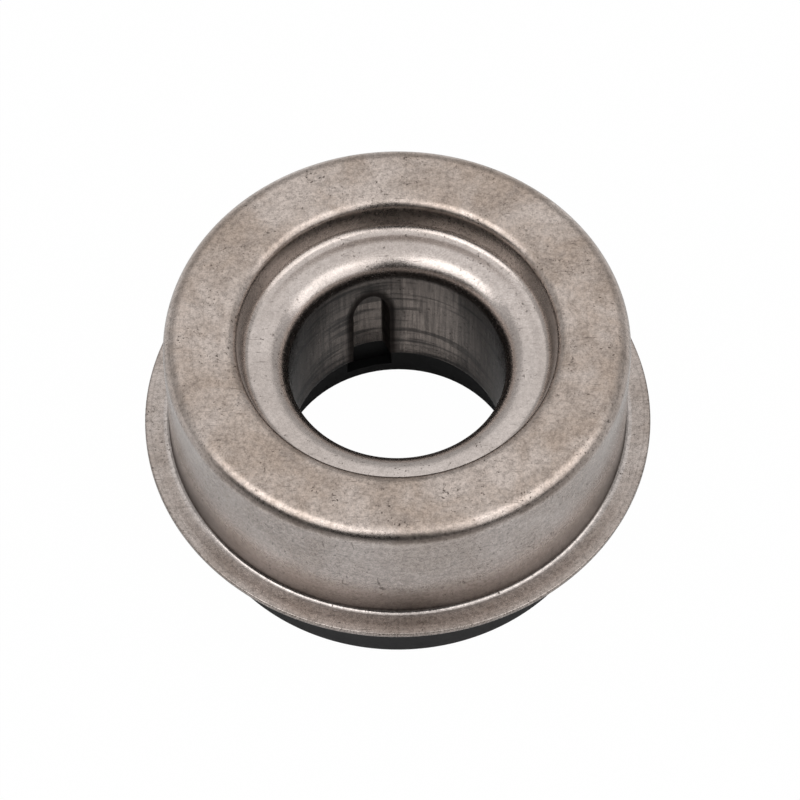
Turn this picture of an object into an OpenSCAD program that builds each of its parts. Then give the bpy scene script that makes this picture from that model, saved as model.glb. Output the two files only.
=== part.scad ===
// Component mechanical seal: the spring-loaded head of a water-pump seal.
// Millimetres, +Z up. The origin is the centre of the lapped seal face, so the
// head stands on that face with the closed end of its case on top, at the free
// length of its spring. The shaft passes up the middle along +Z.

/* [Case] */
// Outside diameter of the case wall, pressed into the pump housing
case_d = 36.5; // [36.2:0.05:38]
// Width of the flange that stops on the housing
flange_w = 2; // [1.4:0.1:3]
// Height of the closed end above the lower face of the flange
case_h = 11.9; // [11.3:0.1:13]
// Thickness of the drawn sheet
sheet_t = 0.5; // [0.4:0.02:0.56]
// Outer radius of the corner between the wall and the closed end
corner_r = 1.8; // [1.2:0.1:2.2]
// Radius in the root between the flange and the wall
root_r = 0.45; // [0.3:0.05:0.7]
// Radius on the trimmed edge of the flange
flange_edge_r = 0.12; // [0.05:0.01:0.18]

/* [Closed end] */
// Width of the raised rim
rim_w = 5.85; // [5.3:0.05:6]
// Radius on the inner edge of the raised rim
rim_edge_r = 0.8; // [0.6:0.05:0.9]
// Depth of the recessed ring below the raised rim
step_depth = 2.8; // [2.2:0.1:2.9]
// Radius at the foot of the step
step_root_r = 0.8; // [0.4:0.05:0.9]
// Width of the recessed ring, from the step to the rolled lip
recess_w = 1.425; // [1.2:0.025:2.2]
// Radius of the rolled lip at the mouth of the tube
lip_r = 2.4; // [1.8:0.1:2.8]

/* [Tube] */
// Reach of the tube below the lower face of the flange
tube_reach = 3.9; // [3.2:0.1:4.1]

/* [Drive keys] */
// Number of keys pressed outwards from the tube
key_count = 3; // [2:1:4]
// Angle of the first key about the axis
key_angle = 104; // [0:1:359]
// Width of the floor of a key
key_floor_w = 2.2; // [1.8:0.1:2.4]
// Extra width of a key at its mouth
key_flare_w = 0.8; // [0.4:0.1:1]
// Depth that a key is pressed out of the tube wall
key_depth = 1.15; // [0.8:0.05:1.2]
// Height of a key above the open end of the tube
key_h = 8.1; // [7:0.1:9]

/* [Seal ring] */
// Clearance of the carbon ring round the tube
ring_gap = 0.625; // [0.4:0.025:0.8]
// Width of the shoulder outside the nose that carries the seal face
shoulder_w = 1.35; // [1:0.05:1.8]
// Height of the nose
nose_h = 1.6; // [1.4:0.1:1.8]
// Overall height of the ring
ring_h = 6.5; // [6.2:0.1:6.8]
// Chamfer on the edges of the ring
ring_chamfer = 0.25; // [0.1:0.05:0.4]

/* [Bellows] */
// Thickness of the cuff that grips the seal ring
cuff_t = 2.4; // [2:0.05:2.8]
// Height that the nose stands out of the cuff
nose_proud = 0.4; // [0.3:0.05:0.8]
// Thickness of the web behind the seal ring
web_t = 1; // [0.8:0.05:1.2]
// Thickness of the folding skin
skin_t = 1.1; // [0.9:0.05:1.2]
// Middle radius of the two bends that lead into the fold
bend_r = 1.5; // [1.3:0.05:1.6]
// Middle radius of the fold
fold_r = 1.2; // [1:0.05:1.3]
// Radius on the edges of the rubber
rubber_edge_r = 0.25; // [0.15:0.05:0.35]
// Height of the bead held in the rim of the case
bead_h = 3.55; // [3:0.05:3.8]

/* [Rings] */
// Thickness of the pressed rings
band_t = 0.4; // [0.3:0.02:0.44]
// Height of the band round the cuff
band_h = 3.6; // [3:0.1:3.8]
// Height of the skirt of the clamp ring
clamp_h = 2.2; // [1.6:0.1:2.4]
// Thickness of the spring seat
seat_t = 0.5; // [0.4:0.05:0.6]
// Inner radius where the rim of the spring seat turns up
seat_bend_r = 0.15; // [0.1:0.01:0.16]
// Height of the rim that centres the spring in its seat
seat_rim_h = 1.3; // [1:0.1:1.6]

/* [Spring] */
// Diameter of the spring wire
wire_d = 1.5; // [1.3:0.05:1.6]
// Clearance of the coils round the drive keys
spring_gap = 0.4; // [0.3:0.05:0.5]
// Number of coils
coils = 3.5; // [3:0.25:3.5]

/* [Stack] */
// Height of the lower face of the flange above the seal face, spring at free length
flange_z = 8.4; // [8.1:0.1:9]
// Travel of the seal ring into the case
travel = 3; // [2:0.1:3.2]
// Gap between pieces that are pressed or moulded together
fit_gap = 0.05; // [0.02:0.01:0.06]
// Running gap round the drive keys and past the nose of the seal ring
run_gap = 0.25; // [0.15:0.05:0.3]
// Gap between the folding skin and the metal rings beside it
skin_gap = 0.3; // [0.2:0.05:0.4]
// Gap between the band round the cuff and the case wall that it slides past
band_gap = 0.25; // [0.2:0.05:0.4]

/* [Hidden] */

// Steps of a full turn, of a small edge radius, and of the spring's wire and coils
$fn = 96;
EDGE_FN = 32;
WIRE_SIDES = 12;
COIL_STEPS = 36;
// How much slower the coil climbs at its closed ends, and how much of the wire is ground off there
END_EASE = 0.3;
END_GROUND = 0.25;
// Overshoot of a cutting shape past the face that it cuts
over = 1;

// Radii of the case
wall_r = case_d / 2;
wall_in_r = wall_r - sheet_t;
flange_r = wall_r + flange_w;
step_r = wall_r - rim_w;
lip_centre_r = step_r - recess_w;
tube_r = lip_centre_r - lip_r;
tube_out_r = tube_r + sheet_t;

// Heights of the case
flange_top_z = flange_z + sheet_t;
top_z = flange_z + case_h;
rim_under_z = top_z - sheet_t;
recess_z = top_z - step_depth;
recess_under_z = recess_z - sheet_t;
tube_end_z = flange_z - tube_reach;

// Sizes of the drive keys, measured out from the axis
key_floor_r = tube_r + key_depth;
key_back_r = key_floor_r + sheet_t;
key_slope = key_flare_w / 2 / key_depth;
key_side_t = sheet_t * sqrt(1 + key_slope * key_slope);
key_mouth_w = key_floor_w + key_flare_w;
key_top_z = tube_end_z + key_h;
key_centre_z = key_top_z - key_mouth_w / 2;

// Radii of the cuff and the seal ring inside it
band_out_r = wall_in_r - band_gap;
band_in_r = band_out_r - band_t;
cuff_r = band_in_r - fit_gap;
cuff_bore_r = cuff_r - cuff_t;
ring_r = cuff_bore_r - fit_gap;
nose_r = ring_r - shoulder_w;
ring_bore_r = tube_out_r + ring_gap;

// Stack of pieces on the seal ring, from the face up
web_z = ring_h + fit_gap;
web_top_z = web_z + web_t;
band_top_z = web_top_z + fit_gap + band_t;
seat_z = web_top_z + fit_gap;
seat_top_z = seat_z + seat_t;

// Radii of the spring, its seat and the rubber beside them
seat_in_r = key_back_r + spring_gap;
spring_r = seat_in_r + wire_d / 2;
spring_out_r = spring_r + wire_d / 2;
seat_rim_r = spring_out_r + fit_gap;
seat_out_r = seat_rim_r + seat_t;
web_bore_r = seat_in_r + skin_gap;
lip_bore_r = nose_r + run_gap;

// Bore of the folding skin, the bead in the rim of the case, and the ring that clamps it
skin_in_r = seat_out_r + skin_gap;
bead_out_r = wall_in_r - fit_gap;
bead_in_r = max(step_r + sheet_t + fit_gap, skin_in_r);
bead_top_z = rim_under_z - fit_gap;
bead_z = bead_top_z - bead_h;
clamp_out_r = wall_in_r - fit_gap;
clamp_top_z = bead_z - fit_gap;

// Middle line of the folding skin, and the bores of the rings that stand clear of it
skin_r = skin_in_r + skin_t / 2;
fold_centre_r = skin_r + bend_r;
band_bore_r = fold_centre_r;
clamp_bore_r = skin_r + skin_t / 2 + skin_gap;
fold_low_z = web_top_z + rubber_edge_r;
fold_mid_z = fold_low_z + bend_r + fold_r;
fold_high_z = fold_mid_z + fold_r + bend_r;

// Part of a circle's ring in one quadrant, on the side given by sx and sy
module quarter_band(r_in, r_out, sx, sy) {
    intersection() {
        difference() {
            circle(r = r_out);
            circle(r = r_in);
        }
        translate([sx > 0 ? 0 : -r_out, sy > 0 ? 0 : -r_out]) square(r_out);
    }
}

// Rectangle between two corners
module block(x0, y0, x1, y1) {
    translate([x0, y0]) square([x1 - x0, y1 - y0]);
}

// Rectangle between two corners with its four corners rounded
module soft_block(x0, y0, x1, y1, r) {
    block(x0 + r, y0, x1 - r, y1);
    block(x0, y0 + r, x1, y1 - r);
    for (x = [x0 + r, x1 - r], y = [y0 + r, y1 - r]) {
        translate([x, y]) circle(r = r, $fn = EDGE_FN);
    }
}

// Section of the drawn sheet, from the edge of the flange to the end of the tube
module case_section() {
    soft_block(wall_r + root_r, flange_z, flange_r, flange_top_z, flange_edge_r);
    block(wall_r + root_r, flange_z, flange_r - flange_edge_r, flange_top_z);
    translate([wall_r + root_r, flange_top_z + root_r]) quarter_band(root_r, root_r + sheet_t, -1, -1);
    block(wall_in_r, flange_top_z + root_r, wall_r, top_z - corner_r);
    translate([wall_r - corner_r, top_z - corner_r]) quarter_band(corner_r - sheet_t, corner_r, 1, 1);
    block(step_r + rim_edge_r, rim_under_z, wall_r - corner_r, top_z);
    translate([step_r + rim_edge_r, top_z - rim_edge_r]) quarter_band(rim_edge_r - sheet_t, rim_edge_r, -1, 1);
    block(step_r, recess_z + step_root_r, step_r + sheet_t, top_z - rim_edge_r);
    translate([step_r - step_root_r, recess_z + step_root_r]) {
        quarter_band(step_root_r, step_root_r + sheet_t, 1, -1);
    }
    block(lip_centre_r, recess_under_z, step_r - step_root_r, recess_z);
    translate([lip_centre_r, recess_z - lip_r]) quarter_band(lip_r - sheet_t, lip_r, -1, 1);
    block(tube_r, tube_end_z, tube_out_r, recess_z - lip_r);
}

// Half the width of a key's groove at a distance from the axis
function key_half_w(r) = key_floor_w / 2 + (key_floor_r - r) * key_slope;

// Key as a tapered bar with a rounded upper end, from z_from up, widened on each side by grow
module key_bar(r_from, r_to, grow, z_from) {
    from_w = key_half_w(r_from) + grow;
    to_w = key_half_w(r_to) + grow;
    translate([0, 0, z_from]) linear_extrude(key_centre_z - z_from) {
        polygon([[r_from, -from_w], [r_to, -to_w], [r_to, to_w], [r_from, from_w]]);
    }
    translate([0, 0, key_centre_z]) rotate([90, 0, 90]) rotate_extrude(angle = 180) {
        polygon([[0, r_from], [from_w, r_from], [to_w, r_to], [0, r_to]]);
    }
}

// Places a shape at each drive key, counted from the first one
module at_keys() {
    for (i = [0 : key_count - 1]) {
        rotate([0, 0, i * 360 / key_count]) children();
    }
}

// Groove that a key leaves in the bore of the tube, open at the tube's end
module key_groove() {
    key_bar(tube_r - over / 2, key_floor_r, 0, tube_end_z - over);
}

module case() {
    color("silver") rotate([0, 0, key_angle]) difference() {
        union() {
            rotate_extrude() case_section();
            at_keys() key_bar(tube_r + sheet_t / 2, key_back_r, key_side_t, tube_end_z);
        }
        at_keys() key_groove();
    }
}

module clamp_ring() {
    color("darkgray") rotate_extrude() {
        bend_out_r = 2 * band_t;
        bend_z = clamp_top_z - bend_out_r;
        block(clamp_bore_r, clamp_top_z - band_t, clamp_out_r - bend_out_r, clamp_top_z);
        translate([clamp_out_r - bend_out_r, bend_z]) quarter_band(band_t, bend_out_r, 1, 1);
        block(clamp_out_r - band_t, clamp_top_z - clamp_h, clamp_out_r, bend_z);
    }
}

// Section of the folding skin, from the web up to the bead
module skin_section() {
    half_t = skin_t / 2;
    block(skin_in_r, web_top_z - rubber_edge_r, skin_r + half_t, fold_low_z);
    translate([fold_centre_r, fold_low_z]) quarter_band(bend_r - half_t, bend_r + half_t, -1, 1);
    translate([fold_centre_r, fold_mid_z]) {
        quarter_band(fold_r - half_t, fold_r + half_t, 1, -1);
        quarter_band(fold_r - half_t, fold_r + half_t, 1, 1);
    }
    translate([fold_centre_r, fold_high_z]) quarter_band(bend_r - half_t, bend_r + half_t, -1, -1);
    block(skin_in_r, fold_high_z, skin_r + half_t, bead_z + rubber_edge_r);
}

// Section of the cuff with its front lip and the web behind the seal ring
module cuff_section() {
    difference() {
        soft_block(web_bore_r, nose_proud, cuff_r, web_top_z, rubber_edge_r);
        block(web_bore_r - over, nose_proud - over, cuff_bore_r, web_z);
    }
    lip_top_z = nose_h - fit_gap;
    block(lip_bore_r, nose_proud + rubber_edge_r, cuff_bore_r + rubber_edge_r, lip_top_z);
    block(lip_bore_r + rubber_edge_r, nose_proud, cuff_bore_r + rubber_edge_r, lip_top_z);
    translate([lip_bore_r + rubber_edge_r, nose_proud + rubber_edge_r]) circle(r = rubber_edge_r, $fn = EDGE_FN);
}

// Section of the bead that fills the rim, with the foot that the clamp ring presses
module bead_section() {
    foot_top_z = recess_under_z - fit_gap;
    head_r = corner_r - sheet_t;
    block(skin_in_r, bead_z, bead_out_r, foot_top_z);
    block(bead_in_r, bead_z, bead_out_r, bead_top_z - head_r);
    block(bead_in_r, bead_z, bead_out_r - head_r, bead_top_z - rubber_edge_r);
    block(bead_in_r + rubber_edge_r, bead_z, bead_out_r - head_r, bead_top_z);
    translate([bead_out_r - head_r, bead_top_z - head_r]) circle(r = head_r);
    translate([bead_in_r + rubber_edge_r, bead_top_z - rubber_edge_r]) circle(r = rubber_edge_r, $fn = EDGE_FN);
}

module bellows() {
    color("dimgray") rotate_extrude() {
        cuff_section();
        skin_section();
        bead_section();
    }
}

// Share of the climb made after a share u of the turns, slower near both ends
function climb(u) = u - END_EASE * sin(360 * u) / (2 * PI);

// Points of the wire's section at one step of the coil
function wire_ring(step, steps, z_low, z_high) = [
    for (i = [0 : WIRE_SIDES - 1])
        let (
            turn = 360 * coils * step / steps,
            side = 360 * i / WIRE_SIDES,
            r = spring_r + wire_d / 2 * cos(side),
            z = z_low + (z_high - z_low) * climb(step / steps) + wire_d / 2 * sin(side)
        )
        [r * cos(turn), r * sin(turn), z]
];

// Spring wire swept along its coil, with its ends ground flat between z0 and z1
module spring_coil(z0, z1) {
    steps = round(COIL_STEPS * coils);
    end_h = wire_d * (0.5 - END_GROUND);
    points = [for (s = [0 : steps]) each wire_ring(s, steps, z0 + end_h, z1 - end_h)];
    sides = [
        for (s = [0 : steps - 1], i = [0 : WIRE_SIDES - 1])
            let (a = s * WIRE_SIDES, b = a + WIRE_SIDES, j = (i + 1) % WIRE_SIDES)
            [a + i, a + j, b + j, b + i]
    ];
    first = [for (i = [WIRE_SIDES - 1 : -1 : 0]) i];
    last = [for (i = [0 : WIRE_SIDES - 1]) steps * WIRE_SIDES + i];
    intersection() {
        polyhedron(points = points, faces = concat(sides, [first, last]), convexity = 10);
        translate([0, 0, z0]) cylinder(h = z1 - z0, r = spring_r + wire_d);
    }
}

module coil_spring() {
    color("lightsteelblue") spring_coil(seat_top_z + fit_gap, recess_under_z - fit_gap);
}

module spring_seat() {
    color("gainsboro") rotate_extrude() {
        bend_z = seat_top_z + seat_bend_r;
        block(seat_in_r, seat_z, seat_rim_r - seat_bend_r, seat_top_z);
        translate([seat_rim_r - seat_bend_r, bend_z]) quarter_band(seat_bend_r, seat_bend_r + seat_t, 1, -1);
        block(seat_rim_r, bend_z, seat_out_r, seat_z + seat_rim_h);
    }
}

module cuff_band() {
    color("lightgray") rotate_extrude() {
        bend_in_r = rubber_edge_r + fit_gap;
        bend_out_r = bend_in_r + band_t;
        block(band_bore_r, band_top_z - band_t, band_out_r - bend_out_r, band_top_z);
        translate([band_out_r - bend_out_r, band_top_z - bend_out_r]) quarter_band(bend_in_r, bend_out_r, 1, 1);
        block(band_in_r, band_top_z - band_h, band_out_r, band_top_z - bend_out_r);
    }
}

// Section of the seal ring with its nose, shoulder and chamfers
module ring_section() {
    c = ring_chamfer;
    polygon([
        [ring_bore_r, c],
        [ring_bore_r + c, 0],
        [nose_r - c, 0],
        [nose_r, c],
        [nose_r, nose_h],
        [ring_r - c, nose_h],
        [ring_r, nose_h + c],
        [ring_r, ring_h - c],
        [ring_r - c, ring_h],
        [ring_bore_r + c, ring_h],
        [ring_bore_r, ring_h - c]
    ]);
}

module seal_ring() {
    slot_z = tube_end_z - travel - run_gap;
    slot_r = key_back_r + run_gap;
    slot_w = 2 * (key_half_w(ring_bore_r) + key_side_t + run_gap);
    color("#303034") rotate([0, 0, key_angle]) difference() {
        rotate_extrude() ring_section();
        at_keys() translate([0, -slot_w / 2, slot_z]) cube([slot_r, slot_w, ring_h + over - slot_z]);
    }
}

case();
clamp_ring();
bellows();
coil_spring();
spring_seat();
cuff_band();
seal_ring();
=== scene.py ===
"""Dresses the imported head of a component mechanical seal.

The head stands on its seal face. A drawn stainless case closes the top and carries the tube for the shaft,
with drive keys pressed out of it. Under the case a carbon seal ring sits in the rubber cuff of the bellows,
and a coil spring pushes the ring out of the case. Sections are given in millimetres, from the axis and
above the seal face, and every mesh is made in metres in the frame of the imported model.
"""

import logging
import math
from dataclasses import dataclass
from enum import Enum

import bpy
import numpy as np
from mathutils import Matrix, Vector


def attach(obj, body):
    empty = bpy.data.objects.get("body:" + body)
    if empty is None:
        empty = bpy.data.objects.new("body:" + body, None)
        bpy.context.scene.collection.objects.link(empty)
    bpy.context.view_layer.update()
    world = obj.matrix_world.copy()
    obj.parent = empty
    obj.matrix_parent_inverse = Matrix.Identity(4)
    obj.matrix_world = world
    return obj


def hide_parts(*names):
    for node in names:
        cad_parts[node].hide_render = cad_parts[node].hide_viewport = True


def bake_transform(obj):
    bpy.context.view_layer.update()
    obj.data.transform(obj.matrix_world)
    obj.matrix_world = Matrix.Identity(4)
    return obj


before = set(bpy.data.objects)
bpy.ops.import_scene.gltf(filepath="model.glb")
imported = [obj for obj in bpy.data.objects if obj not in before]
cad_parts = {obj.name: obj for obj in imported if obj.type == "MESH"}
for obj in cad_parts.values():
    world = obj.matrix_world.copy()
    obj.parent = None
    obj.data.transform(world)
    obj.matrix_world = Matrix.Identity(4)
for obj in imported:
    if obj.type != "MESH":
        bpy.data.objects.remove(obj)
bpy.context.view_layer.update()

log = logging.getLogger("seal")

MM = 0.001
# Name of the attribute that carries the painted shade in the bends of the keys
KEY_SHADE = "key_painted_shade"
# Bends sharper than this, in degrees, keep a hard edge in the shading: on turned pieces, and on the wire
TURNED_EDGE = 80
WIRE_EDGE = 50
WHITE = (1, 1, 1, 1)

Corner = tuple[float, float, float]
Span = tuple[float, float]
Sockets = dict[int | str, object]


class Body(Enum):
    """Bodies that the seal's one joint moves against each other."""

    CASE = "case_body"
    HEAD = "seal_head"


class Web(Enum):
    """Ends of a pressed ring at which its flat web can lie."""

    TOP = "top"
    FOOT = "foot"


class Slot(Enum):
    """Material slots of the record."""

    CASE_STEEL = "case_steel"
    RING_STEEL = "ring_steel"
    SPRING_STEEL = "spring_steel"
    RUBBER = "rubber"
    CARBON = "carbon"


def linear(colour: str, alpha: float = 1.0) -> tuple[float, float, float, float]:
    """Turns an sRGB hex colour into the linear one that shaders take.

    Args:
        colour: Six hex digits after a hash sign.
        alpha: Opacity of the colour.

    Returns:
        Red, green and blue in linear light, and alpha.
    """
    parts = [int(colour[i : i + 2], 16) / 255 for i in (1, 3, 5)]
    red, green, blue = (c / 12.92 if c <= 0.04045 else ((c + 0.055) / 1.055) ** 2.4 for c in parts)
    return red, green, blue, alpha


def add(tree: bpy.types.NodeTree, kind: str, inputs: Sockets | None = None, **settings: object) -> bpy.types.Node:
    """Adds a node with its settings, values and links.

    Args:
        tree: Node tree that gets the node.
        kind: Blender's name for the node's type.
        inputs: Value or source socket for each input, by the input's name or number.
        **settings: Properties of the node itself.

    Returns:
        The new node.
    """
    node = tree.nodes.new(kind)
    for name, value in settings.items():
        setattr(node, name, value)
    for key, value in (inputs or {}).items():
        if isinstance(value, bpy.types.NodeSocket):
            tree.links.new(value, node.inputs[key])
        else:
            node.inputs[key].default_value = value
    return node


def new_material(name: str) -> tuple[bpy.types.Material, bpy.types.NodeTree]:
    """Makes an empty node material.

    Args:
        name: Name of the finish.

    Returns:
        The material and its node tree, with nothing in it yet.
    """
    material = bpy.data.materials.new(name)
    material.use_nodes = True
    material.node_tree.nodes.clear()
    return material, material.node_tree


def dress(piece: bpy.types.Object, material: bpy.types.Material) -> None:
    """Gives a piece one material in its first and only slot."""
    piece.data.materials.clear()
    piece.data.materials.append(material)


def rounded_outline(corners: list[Corner], arc_step: float, run_step: float) -> np.ndarray:
    """Rounds the corners of a closed section outline and splits its long straight runs.

    Args:
        corners: Distance from the axis, height and rounding radius of each corner, counter-clockwise.
        arc_step: Longest step along a rounded corner.
        run_step: Longest step along a straight run.

    Returns:
        The points of the outline, one row each.
    """
    points = []
    for i, (r, z, radius) in enumerate(corners):
        here = np.array((r, z))
        into = here - corners[i - 1][:2]
        out = np.array(corners[(i + 1) % len(corners)][:2]) - here
        into, out = into / np.linalg.norm(into), out / np.linalg.norm(out)
        turn = math.atan2(into[0] * out[1] - into[1] * out[0], into @ out)
        if radius <= 0:
            points.append(here)
            continue
        start = here - into * radius * math.tan(abs(turn) / 2)
        centre = start + math.copysign(radius, turn) * np.array((-into[1], into[0]))
        spoke = start - centre
        steps = max(3, math.ceil(radius * abs(turn) / arc_step))
        for angle in np.linspace(0, turn, steps + 1):
            c, s = math.cos(angle), math.sin(angle)
            points.append(centre + (c * spoke[0] - s * spoke[1], s * spoke[0] + c * spoke[1]))
    outline = []
    for here, after in zip(points, points[1:] + points[:1]):
        pieces = max(1, math.ceil(np.linalg.norm(after - here) / run_step))
        outline += [here + (after - here) * k / pieces for k in range(pieces)]
    return np.array(outline)


def turned_mesh(name: str, x: np.ndarray, y: np.ndarray, z: np.ndarray) -> bpy.types.Object:
    """Makes the closed skin of a turned or drawn piece.

    Args:
        name: Name of the piece.
        x: Places along X in millimetres, one row per outline point and one column per angle.
        y: Places along Y, laid out the same way.
        z: Heights, laid out the same way.

    Returns:
        The piece, shaded smooth with its sharp edges kept, linked to the scene.
    """
    rows, columns = x.shape
    places = np.stack([x, y, z], axis=-1).reshape(-1, 3) * MM
    i, j = np.meshgrid(np.arange(rows), np.arange(columns), indexing="ij")
    below, beside = (i + 1) % rows, (j + 1) % columns
    quads = np.stack([i * columns + j, i * columns + beside, below * columns + beside, below * columns + j], axis=-1)
    mesh = bpy.data.meshes.new(name)
    mesh.from_pydata(places.tolist(), [], quads.reshape(-1, 4).tolist())
    mesh.polygons.foreach_set("use_smooth", [True] * len(mesh.polygons))
    mesh.set_sharp_from_angle(angle=math.radians(TURNED_EDGE))
    mesh.validate()
    piece = bpy.data.objects.new(name, mesh)
    bpy.context.scene.collection.objects.link(piece)
    return piece


def turned_piece(name: str, outline: np.ndarray, steps: int) -> bpy.types.Object:
    """Turns a section outline round the axis in even steps.

    Args:
        name: Name of the piece.
        outline: Points of the closed outline, counter-clockwise.
        steps: Number of steps round the axis.

    Returns:
        The piece, linked to the scene.
    """
    angles = np.arange(steps) * 2 * math.pi / steps
    r, z = outline[:, :1], outline[:, 1:]
    return turned_mesh(name, r * np.cos(angles), r * np.sin(angles), z + 0 * angles)


@dataclass(frozen=True)
class SheetSpot:
    """Sockets that tell where on the drawn sheet a point lies, in millimetres."""

    place: bpy.types.NodeSocket
    flat: bpy.types.NodeSocket
    radius: bpy.types.NodeSocket
    height: bpy.types.NodeSocket
    clouds: bpy.types.NodeSocket
    grain: bpy.types.NodeSocket


@dataclass(frozen=True)
class SheetZones:
    """Radii, heights and widths between which the parts of the sheet's finish begin and end, in millimetres."""

    rubbed_r: Span = (11.6, 13.1)
    calm_r: Span = (11.8, 12.8)
    step_r: Span = (13.4, 13.2)
    step_top_z: Span = (20.1, 19.4)
    step_foot_z: Span = (17.95, 18.4)
    washed_r: Span = (17.2, 18.2)
    wall_shade_r: Span = (17.6, 18.15)
    outer_skin_r: Span = (17.9, 18.1)
    wall_r: Span = (18.4, 18.27)
    dark_line_z: float = 19.5
    dark_line_w: Span = (0.42, 0.02)
    dark_line_r: Span = (17.3, 17.6)
    dark_line_front_y: Span = (-7.0, -17.0)
    foot_z: Span = (14.6, 10.4)
    foot_r: Span = (18.36, 18.27)
    root_r: float = 18.5
    root_w: Span = (0.15, 0.3)
    flange_r: Span = (18.3, 18.4)
    trim_line_r: float = 19.75
    trim_line_w: Span = (0.09, 0.02)
    trimmed_edge_r: Span = (20.05, 20.23)
    inside_z: Span = (16.9, 15.0)
    inside_r: Span = (11.0, 10.4)
    below_lip_z: Span = (12.2, 14.8)
    lit_key_floor_r: Span = (9.2, 9.5)


@dataclass(frozen=True)
class DrawnStainless:
    """Deep-drawn stainless sheet as it leaves the press: satin, with a brown film, pits and fine draw lines.

    The clean metal is a warm light grey. The film lies in soft clouds and faint rings over a crisp fine
    mottle. A brown stain lies low on the wall, deepened there by painted shade. Painted shade also darkens the
    wall, the step, the bends of the keys and the tube under the lip, a painted dark reflection runs under the
    corner, strongest at the front, and the bore takes a darker tone, partly a dark film and partly painted
    shade, with a painted reflection and painted light on the key floors. The film is thinned along the root of
    the flange into a painted highlight, and the metal there is smoother.
    """

    clean: str = "#C5BCB7"
    film: str = "#B2A296"
    dull: str = "#A3968D"
    # Dark brown of real stains, pits, scratches and crumbs, and also of painted shade low on the wall and of the
    # painted dark line under the corner
    stain_and_shade: str = "#3A302A"
    # Colour of the painted shade on the step
    painted_shade: str = "#8E8782"
    # Tone inside the tube: a dark film, darkened further as painted shade
    bore: str = "#6A625D"
    # Dark brown of the painted shade in the bends of the keys
    bend_shade_colour: str = "#1A120F"
    roughness: float = 0.24
    cloud_mm: float = 6.0
    mottle_mm: float = 0.34
    grain_mm: float = 0.11
    ring_mm: float = 0.5
    pit_mm: float = 0.24
    pit_patch_mm: float = 2.6
    streaks_per_mm: tuple[float, float, float] = (4.2, 4.2, 0.22)
    bands_per_mm: tuple[float, float, float] = (0.12, 0.12, 1.3)
    # Angles between which the bore carries a painted reflection, a lighter patch with soft straight edges
    reflection_from: float = 55.0
    reflection_to: float = 86.0
    reflection_edge: float = 0.7
    relief_mm: float = 0.006
    zones: SheetZones = SheetZones()

    def spot(self, tree: bpy.types.NodeTree) -> SheetSpot:
        """Adds the nodes that tell where a point lies, with the clouds and the grain that most layers share.

        Args:
            tree: Node tree of the material.

        Returns:
            The sockets.
        """
        place = add(tree, "ShaderNodeTexCoord").outputs["Object"]
        mm = add(tree, "ShaderNodeVectorMath", {0: place, "Scale": 1 / MM}, operation="SCALE").outputs[0]
        split = add(tree, "ShaderNodeSeparateXYZ", {0: mm}).outputs
        flat = add(tree, "ShaderNodeCombineXYZ", {0: split[0], 1: split[1]}).outputs[0]
        radius = add(tree, "ShaderNodeVectorMath", {0: flat}, operation="LENGTH").outputs["Value"]
        clouds = add(
            tree,
            "ShaderNodeTexNoise",
            {"Vector": mm, "Scale": 1 / self.cloud_mm, "Detail": 5.0, "Roughness": 0.62, "Distortion": 0.5},
        )
        # The real grain is finer than a pixel, so it is drawn as coarse as the render shows
        grain = add(
            tree,
            "ShaderNodeTexNoise",
            {"Vector": mm, "Scale": 1 / self.grain_mm, "Detail": 2.0, "Roughness": 0.6},
        )
        return SheetSpot(mm, flat, radius, split[2], clouds.outputs["Fac"], grain.outputs["Fac"])

    def film_share(self, tree: bpy.types.NodeTree, spot: SheetSpot) -> bpy.types.NodeSocket:
        """Adds the clouds of film, thin on the recessed ring, which is rubbed clean, and thinner on the wall.

        Args:
            tree: Node tree of the material.
            spot: Where the point lies.

        Returns:
            The film's share.
        """
        thick = add(
            tree,
            "ShaderNodeMapRange",
            {0: spot.clouds, 1: 0.34, 2: 0.64, 3: 0.45, 4: 1.0},
            interpolation_type="SMOOTHSTEP",
        ).outputs[0]
        near, far = self.zones.rubbed_r
        rubbed = add(tree, "ShaderNodeMapRange", {0: spot.radius, 1: near, 2: far, 3: 0.2, 4: 1.0}).outputs[0]
        near, far = self.zones.washed_r
        washed = add(tree, "ShaderNodeMapRange", {0: spot.radius, 1: near, 2: far, 3: 1.0, 4: 0.5}).outputs[0]
        kept = add(tree, "ShaderNodeMath", {0: rubbed, 1: washed}, operation="MULTIPLY").outputs[0]
        film = add(tree, "ShaderNodeMath", {0: thick, 1: kept}, operation="MULTIPLY").outputs[0]
        # The film is thinned along the root of the flange, a painted highlight on its bright line
        root = add(tree, "ShaderNodeMath", {0: spot.radius, 1: self.zones.root_r}, operation="SUBTRACT").outputs[0]
        root = add(tree, "ShaderNodeMath", {0: root}, operation="ABSOLUTE").outputs[0]
        near, far = self.zones.root_w
        bright = add(tree, "ShaderNodeMapRange", {0: root, 1: near, 2: far, 3: -0.6, 4: 0.0}).outputs[0]
        return add(tree, "ShaderNodeMath", {0: film, 1: bright}, operation="ADD").outputs[0]

    def dull_share(
        self, tree: bpy.types.NodeTree, spot: SheetSpot, film: bpy.types.NodeSocket
    ) -> bpy.types.NodeSocket:
        """Adds the duller grey places where the film has lifted.

        Args:
            tree: Node tree of the material.
            spot: Where the point lies.
            film: The film's share.

        Returns:
            The share of dull grey.
        """
        lifted = add(
            tree,
            "ShaderNodeTexNoise",
            {"Vector": spot.place, "Scale": 2.4 / self.cloud_mm, "Detail": 9.0, "Roughness": 0.72},
        ).outputs["Fac"]
        share = add(
            tree,
            "ShaderNodeMapRange",
            {0: lifted, 1: 0.48, 2: 0.66, 3: 0.0, 4: 1.0},
            interpolation_type="SMOOTHSTEP",
        ).outputs[0]
        return add(tree, "ShaderNodeMath", {0: share, 1: film}, operation="MULTIPLY").outputs[0]

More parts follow.
